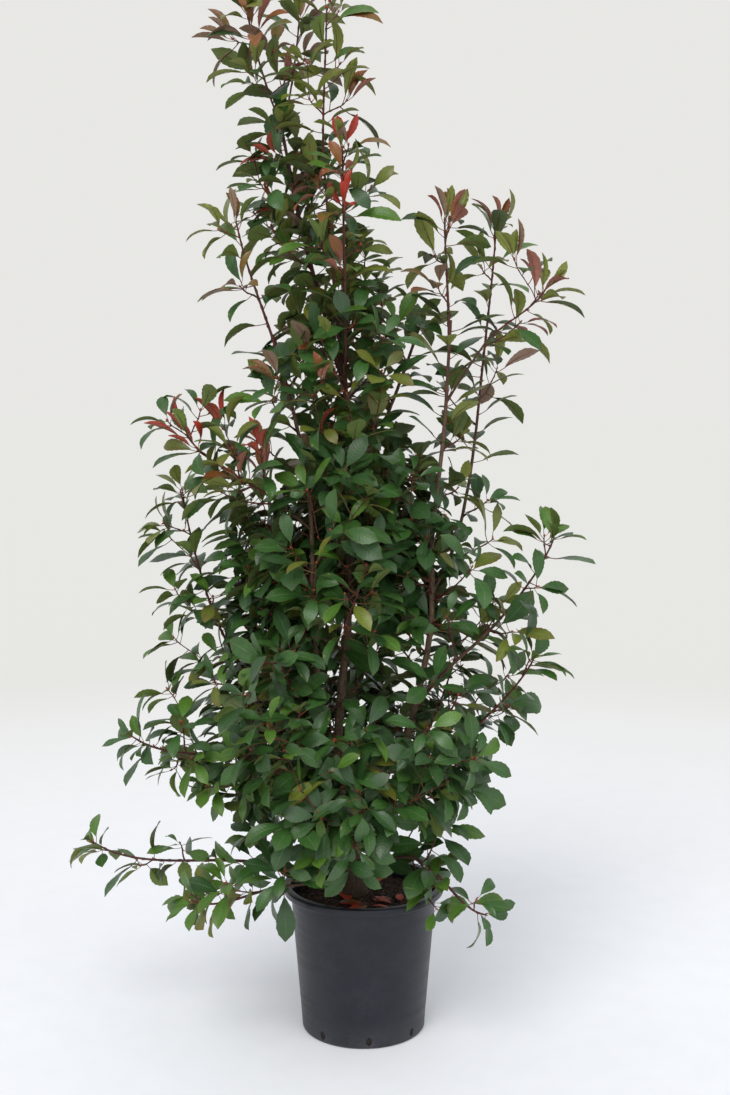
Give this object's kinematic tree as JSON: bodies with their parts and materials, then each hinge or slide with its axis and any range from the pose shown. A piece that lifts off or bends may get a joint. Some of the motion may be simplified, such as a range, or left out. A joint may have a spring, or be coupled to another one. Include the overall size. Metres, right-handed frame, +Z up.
{
  "type": "photinia shrub in a nursery pot",
  "caption": "Tall multi-stemmed photinia shrub with glossy green leaves and red young growth, in a round dark grey nursery pot.",
  "frame": {"origin": "centre of the pot's flat underside", "axes": "+Z up along the plant, -Y towards the front, +X to the right seen from the front"},
  "size_m": [1.1412, 0.6461, 2.32],
  "materials": {
    "pot_plastic": "satin moulded plastic, dark grey, faintly dusty",
    "compost": "rough dark bark compost",
    "bark": "grey-brown bark with fine ridges and pores",
    "young_bark": "smooth red-brown bark of young shoots",
    "leaves": "glossy leathery leaves, deep green, paler below",
    "young_leaves": "glossy young leaves, olive and bronze to red"
  },
  "bodies": {
    "root": {"bough_back_high": "young_bark", "bough_back_left": "young_bark", "bough_back_low": "young_bark", "bough_back_right": "young_bark", "bough_foot_left": "young_bark", "bough_foot_left_front": "young_bark", "bough_foot_right": "young_bark", "bough_front_high": "young_bark", "bough_front_left": "young_bark", "bough_front_low": "young_bark", "bough_front_right": "young_bark", "bough_left_low": "young_bark", "bough_left_mid": "young_bark", "bough_left_top": "young_bark", "bough_right_low": "young_bark", "bough_right_mid": "young_bark", "bough_right_top": "young_bark", "bough_right_top_back": "young_bark", "bough_right_top_front": "young_bark", "compost": "compost", "leader_front": "young_bark", "leader_left": "young_bark", "leader_middle": "young_bark", "leader_right": "young_bark", "leaves_back_high": "leaves", "leaves_back_left": "leaves", "leaves_back_low": "leaves", "leaves_back_right": "leaves", "leaves_centre_left": "leaves", "leaves_centre_right": "leaves", "leaves_foot_left": "leaves", "leaves_foot_left_front": "leaves", "leaves_foot_right": "leaves", "leaves_front_high": "leaves", "leaves_front_left": "leaves", "leaves_front_low": "leaves", "leaves_front_right": "leaves", "leaves_left_low": "leaves", "leaves_left_mid": "leaves", "leaves_left_top": "leaves", "leaves_right_back_mid": "leaves", "leaves_right_low": "leaves", "leaves_right_mid": "leaves", "leaves_right_top": "young_leaves", "leaves_right_top_back": "young_leaves", "leaves_right_top_front": "young_leaves", "leaves_right_upper": "leaves", "leaves_tip_front": "young_leaves", "leaves_tip_left": "young_leaves", "leaves_tip_middle": "young_leaves", "leaves_tip_right": "young_leaves", "leaves_top_column": "young_leaves", "leaves_upper_centre": "young_leaves", "leaves_upper_front": "young_leaves", "leaves_upper_left": "young_leaves", "pot": "pot_plastic", "stem_centre": "bark", "stem_left": "bark", "stem_right": "bark", "trunk": "bark"}
  },
  "joints": []
}
